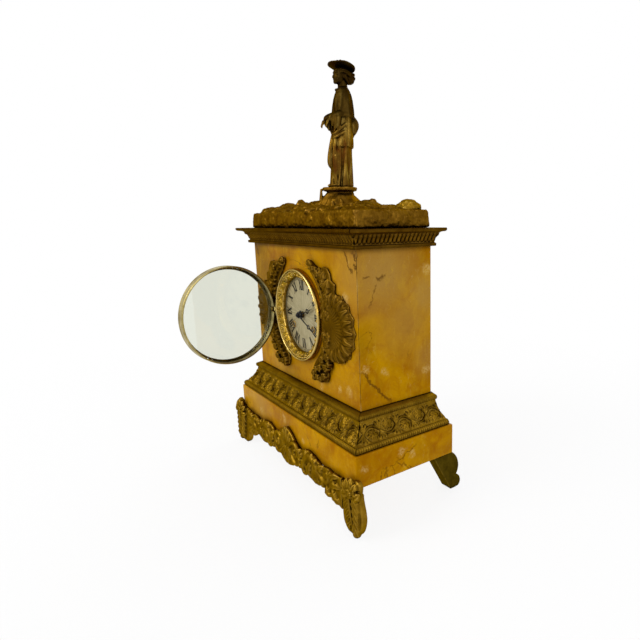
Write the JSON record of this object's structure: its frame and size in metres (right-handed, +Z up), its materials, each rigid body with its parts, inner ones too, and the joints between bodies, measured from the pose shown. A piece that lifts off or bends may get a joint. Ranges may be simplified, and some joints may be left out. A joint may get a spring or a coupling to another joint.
{
  "type": "marble mantel clock",
  "caption": "Marble mantel clock with cast bronze mounts, hinged glazed bezel, striking pendulum movement and a draped figure standing on a rocky terrace.",
  "frame": {"origin": "on the ground under the middle of the whole outline, front door open", "axes": "+Z up; the dial faces -Y; +X is to the right for someone facing the dial"},
  "size_m": [0.3302, 0.2502, 0.4928],
  "materials": {
    "marble": "polished yellow marble with brown veins, worn edges",
    "bronze": "patinated gilt bronze, brown in the hollows",
    "gilt": "chased fire-gilt brass",
    "brass": "aged brass",
    "steel": "plain steel",
    "blued_steel": "dark blued steel",
    "dial": "silvered and painted dial plate",
    "glass": "clear flat glass"
  },
  "bodies": {
    "case": {"base_slab": "marble", "moulding_front": "bronze", "moulding_back": "bronze", "moulding_left": "bronze", "moulding_right": "bronze", "die_front": "marble", "die_back": "marble", "die_left": "marble", "die_right": "marble", "top_slab": "marble", "cornice_front": "bronze", "cornice_back": "bronze", "cornice_left": "bronze", "cornice_right": "bronze", "terrace": "bronze", "figure_pedestal": "bronze", "figure": "bronze", "applique_left": "bronze", "applique_right": "bronze", "front_apron": "bronze", "front_foot_left": "bronze", "front_foot_right": "bronze", "back_foot_left": "bronze", "back_foot_right": "bronze", "dial_surround": "gilt", "bezel_hinge_pin": "brass", "dial": "dial", "front_plate": "brass", "back_plate": "brass", "suspension_cock": "brass", "bell": "brass", "bell_stand": "brass", "rear_ring": "brass", "strap_left": "brass", "strap_right": "brass", "rear_hinge_pin": "brass"},
    "front_door": {"bezel_door": "brass", "door_glass": "glass"},
    "minute_work": {"centre_wheel": "brass", "cannon_pinion": "steel", "minute_hand": "blued_steel", "hand_nut": "brass"},
    "hour_work": {"hour_wheel": "brass", "hour_hand": "blued_steel"},
    "minute_intermediate": {"minute_wheel": "brass"},
    "going_drum": {"going_barrel": "brass"},
    "going_arbor": {"going_winding_arbor": "steel"},
    "third": {"third_wheel": "brass"},
    "escape": {"escape_wheel": "brass"},
    "pallets": {"anchor": "steel"},
    "pendulum": {"pendulum_rod": "steel", "pendulum_bob": "brass"},
    "strike_drum": {"strike_barrel": "brass"},
    "strike_arbor": {"strike_winding_arbor": "steel"},
    "strike_lift": {"strike_wheel": "brass", "count_wheel": "brass"},
    "fly": {"air_fly": "brass"},
    "striker": {"hammer": "steel"},
    "back_door": {"rear_door": "brass"}
  },
  "joints": [
    {"name": "front_door_hinge", "type": "hinge", "parent": "case", "child": "front_door", "pos_m": [-0.0616, -0.00485, 0.204], "axis": [0, 0, 1], "range_deg": [-8, 82]},
    {"name": "minute_spin", "type": "hinge", "parent": "case", "child": "minute_work", "pos_m": [0, 0.01414, 0.204], "axis": [0, 1, 0], "continuous": true},
    {"name": "hour_spin", "type": "hinge", "parent": "case", "child": "hour_work", "pos_m": [0, 0.01414, 0.204], "axis": [0, 1, 0], "continuous": true},
    {"name": "minute_wheel_spin", "type": "hinge", "parent": "case", "child": "minute_intermediate", "pos_m": [0, 0.01414, 0.228], "axis": [0, 1, 0], "continuous": true},
    {"name": "going_barrel_spin", "type": "hinge", "parent": "case", "child": "going_drum", "pos_m": [0.024, 0.01414, 0.189], "axis": [0, 1, 0], "continuous": true},
    {"name": "going_winding", "type": "hinge", "parent": "case", "child": "going_arbor", "pos_m": [0.024, 0.01414, 0.189], "axis": [0, 1, 0], "continuous": true},
    {"name": "third_spin", "type": "hinge", "parent": "case", "child": "third", "pos_m": [0.00809, 0.01414, 0.22008], "axis": [0, 1, 0], "continuous": true},
    {"name": "escape_spin", "type": "hinge", "parent": "case", "child": "escape", "pos_m": [-0.00001, 0.01414, 0.23199], "axis": [0, 1, 0], "continuous": true},
    {"name": "pendulum_swing", "type": "hinge", "parent": "case", "child": "pendulum", "pos_m": [-0.00001, 0.01414, 0.24499], "axis": [0, 1, 0], "range_deg": [-4, 4]},
    {"name": "anchor_rock", "type": "hinge", "parent": "case", "child": "pallets", "pos_m": [-0.00001, 0.01414, 0.24499], "axis": [0, 1, 0], "range_deg": [-4, 4]},
    {"name": "strike_barrel_spin", "type": "hinge", "parent": "case", "child": "strike_drum", "pos_m": [-0.024, 0.01414, 0.189], "axis": [0, 1, 0], "continuous": true},
    {"name": "strike_winding", "type": "hinge", "parent": "case", "child": "strike_arbor", "pos_m": [-0.024, 0.01414, 0.189], "axis": [0, 1, 0], "continuous": true},
    {"name": "strike_wheel_spin", "type": "hinge", "parent": "case", "child": "strike_lift", "pos_m": [-0.02891, 0.01414, 0.21687], "axis": [0, 1, 0], "continuous": true},
    {"name": "fly_spin", "type": "hinge", "parent": "case", "child": "fly", "pos_m": [-0.01999, 0.01414, 0.22817], "axis": [0, 1, 0], "continuous": true},
    {"name": "hammer_swing", "type": "hinge", "parent": "case", "child": "striker", "pos_m": [-0.03422, 0.01414, 0.23048], "axis": [0, 1, 0], "range_deg": [0, 12]},
    {"name": "rear_door_hinge", "type": "hinge", "parent": "case", "child": "back_door", "pos_m": [0.0586, 0.09914, 0.204], "axis": [0, 0, 1], "range_deg": [-110, 0]}
  ],
  "couplings": [
    {"joint": "hour_spin", "follows": "minute_spin", "ratio": 0.083333},
    {"joint": "minute_wheel_spin", "follows": "minute_spin", "ratio": -0.33333},
    {"joint": "going_barrel_spin", "follows": "minute_spin", "ratio": -0.25},
    {"joint": "third_spin", "follows": "minute_spin", "ratio": -4},
    {"joint": "escape_spin", "follows": "minute_spin", "ratio": 12},
    {"joint": "anchor_rock", "follows": "pendulum_swing", "ratio": 1},
    {"joint": "strike_wheel_spin", "follows": "strike_barrel_spin", "ratio": -4},
    {"joint": "fly_spin", "follows": "strike_barrel_spin", "ratio": 12}
  ]
}
